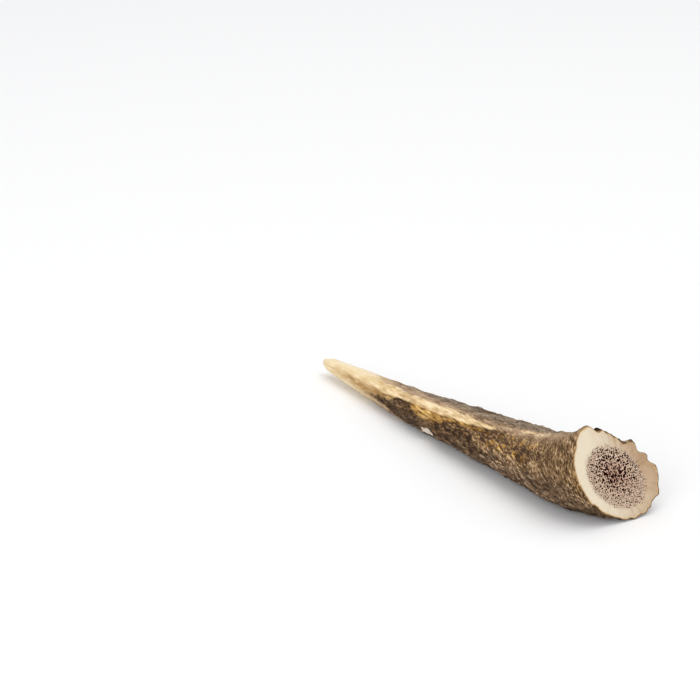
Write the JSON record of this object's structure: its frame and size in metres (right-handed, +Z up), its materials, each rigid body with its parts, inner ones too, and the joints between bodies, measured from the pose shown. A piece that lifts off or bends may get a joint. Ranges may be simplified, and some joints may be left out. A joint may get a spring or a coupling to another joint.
{
  "type": "deer antler dog chew",
  "caption": "Tapering deer antler tine with a rough furrowed bark, a smooth blunt tip and a flat sawn base that shows the spongy core; lies on its side.",
  "frame": {"origin": "middle of the bounding box in plan, at the surface the antler lies on", "axes": "+X along the antler from the tip to the sawn base, +Y to its far side, +Z up as it lies"},
  "size_m": [0.1602, 0.0364, 0.031],
  "materials": {
    "antler": "satin"
  },
  "bodies": {
    "root": {"antler": "antler"}
  },
  "joints": []
}
